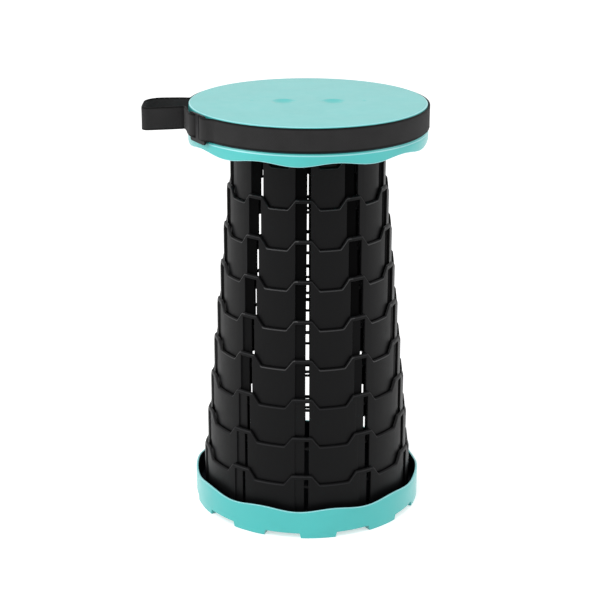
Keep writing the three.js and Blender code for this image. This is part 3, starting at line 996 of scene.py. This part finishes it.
# %% The middle line of the band, seen from above
landing, landing_steps = 24 * mm, 90
rear_share, front_share = 0.276, 0.225
loop_reach, root_gap, root_side = 45.8 * mm, 5 * mm, 22.5 * mm
rear_side, rear_bend = 21.5 * mm, 20 * mm
front_side, front_bend, front_gap = 29.5 * mm, 6 * mm, 2 * mm
slope_half = 1 * mm


def quarter_bend(across, back, size, quarter, steps=5):
    turns = [(quarter + step / steps) * math.pi / 2 for step in range(steps + 1)]
    return [Vector((across + size * math.cos(turn), back + size * math.sin(turn))) for turn in turns]


def on_groove(turn, gap=0.0):
    return on_circle(strap_radius + gap, turn, 0).to_2d()


def band_route():
    """Round the seat from the slider, out along the loop and back through the slider."""
    start, end = slider_angle + landing / strap_radius, (1 - rear_share) * 2 * math.pi
    route = [on_groove(start + (end - start) * step / landing_steps) for step in range(landing_steps + 1)]
    left_end, root = -strap_radius - loop_reach, -strap_radius - root_gap
    route.append(Vector((root, root_side)))
    route += quarter_bend(left_end + rear_bend, rear_side - rear_bend, rear_bend, 1)
    route += quarter_bend(left_end + front_bend, front_bend - front_side, front_bend, 2)
    route.append(Vector((root, -root_side)))
    route.append(on_groove(-front_share * 2 * math.pi, front_gap))
    bar_end = slider_length / 2 + 1 * mm
    low, high = slot_middle - slope_half, slot_middle + slope_half
    route += [by_slider(-bar_end, over_bars), by_slider(-high, over_bars), by_slider(-low, strap_radius)]
    route += [by_slider(low, strap_radius), by_slider(high, over_bars), by_slider(bar_end, over_bars)]
    return route


def softened(route, times):
    """Cuts every corner a quarter of the way in, again and again, which rounds the line."""
    for _ in range(times):
        cut = []
        for here, there in zip(route, route[1:] + route[:1]):
            cut += [here.lerp(there, 0.25), here.lerp(there, 0.75)]
        route = cut
    return route


route = softened(band_route(), 2)
band_length = sum((there - here).length for here, there in zip(route, route[1:] + route[:1]))
print("the band is", round(band_length, 3), "m long")

# %% The section of the band
strap_middle = seat_top - strap_drop - webbing_width / 2
middle_share, flat_share = 0.9, 0.93
lip_thickness_share, lip_height_share = 0.72, 0.985


def band_section():
    """Sideways and upwards from the middle, round the band, with soft thick edges."""
    half, thick = webbing_width / 2, webbing_thickness / 2
    side = []
    for step in range(-4, 5):
        side.append((thick * (middle_share if abs(step) < 3 else 1), half * flat_share * step / 4))
    lip, lip_height = lip_thickness_share * thick, lip_height_share * half
    tip = [(lip, lip_height), (0, half), (-lip, lip_height)]
    return side + tip + [(-out, up) for out, up in reversed(side)] + [(-out, -up) for out, up in tip]


section = band_section()
around = len(section)
print("the section has", around, "points")

# %% Carry the section along the line
band_points, band_places = [], []
run = 0
for at, spot in enumerate(route):
    before, after = route[at - 1], route[(at + 1) % len(route)]
    heading = (after - before).normalized()
    outwards = Vector((heading.y, -heading.x))
    for out, up in section:
        across = spot + outwards * out
        band_points.append(Vector((across.x, across.y, strap_middle + up)))
        band_places.append((run, up))
    run += (after - spot).length
band_faces = []
for at in range(len(route)):
    here, there = at * around, (at + 1) % len(route) * around
    for step in range(around):
        after = (step + 1) % around
        band_faces.append((here + step, there + step, there + after, here + after))
print("the band has", len(band_faces), "faces")

# %% Make the band and give it its coordinates
strap = finished_piece("strap_webbing", "seat_unit", band_points, band_faces, [webbing], nodes=["strap"])
places = strap.data.uv_layers.new(name="along_and_across")
for face in strap.data.polygons:
    runs = [band_places[at][0] for at in face.vertices]
    wraps = max(runs) - min(runs) > band_length / 2
    for corner, at in zip(face.loop_indices, face.vertices):
        along, across = band_places[at]
        places.data[corner].uv = (along + band_length if wraps and along == 0 else along, across)
print("the webbing is cut", round(webbing_width / mm, 1), "mm wide")

# %% [markdown]
# ## The slider
# The slider is a flat frame with two slots. The band runs over its outer bars and under the middle
# one, and friction holds it. Its lower edge hangs below the band, so the lower bar is the wider
# one. It is a plate with holes again, so the same cells serve: three rows, two cells left out for
# the slots, and outer columns that follow the rounded corners.

# %% Outline of the slider
half_length, half_height = slider_length / 2, webbing_width / 2 + 1 * mm
slider_drop = 3.5 * mm
corner = 3 * mm
slot_half = webbing_width / 2 + 0.3 * mm
near, far = bar_width / 2, bar_width / 2 + slot_width
bends = [half_length - corner * (1 - math.sin(step * math.pi / 8)) for step in range(5)]
slider_columns = [-spot for spot in reversed(bends)] + [-far, -near, near, far] + bends
slider_columns = sorted(set(round(spot, 7) for spot in slider_columns))


def slider_top(along):
    beyond = max(abs(along) - half_length + corner, 0)
    return half_height - corner + math.sqrt(max(corner ** 2 - beyond ** 2, 0))


print("the slider stands", round((2 * half_height + slider_drop) / mm, 1), "mm high")

# %% Cut the slider
def slider_keeps(column, row, layer):
    middle = (slider_columns[column] + slider_columns[column + 1]) / 2
    return not (row == 1 and near < abs(middle) < far)


def slider_place(column, row, layer):
    along = slider_columns[column]
    height = (-slider_top(along), -slot_half + corner, slot_half - corner, slider_top(along))[row]
    if abs(along) < far + 0.1 * mm:
        height = (-half_height, -slot_half, slot_half, half_height)[row]
    height -= slider_drop if row == 0 else 0
    spot = by_slider(along, slider_inside + layer * slider_thickness)
    return Vector((spot.x, spot.y, strap_middle + height))


points, faces, _ = cut_plate(len(slider_columns) - 1, 3, 1, slider_keeps, slider_place, closed=False)
slider = finished_piece("slider_frame", "seat_unit", points, faces, [slider_plastic],
                        rounding=0.5 * mm, nodes=["strap_slider"])
print("the slider has", len(faces), "faces before its edges are rounded")

# %% [markdown]
# ## The size of the dressed stool
# The new pieces must keep to the imported model's box. The dressed box is measured, and its size
# is printed.

# %% Measure the dressed pieces and print their size
dressed_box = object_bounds()
boxes = {"model": model_box, "dressed": dressed_box}
{name: [list(corner) for corner in box] for name, box in boxes.items()}
print("dressed size:", [round(high - low, 4) for low, high in zip(*dressed_box)], "m")
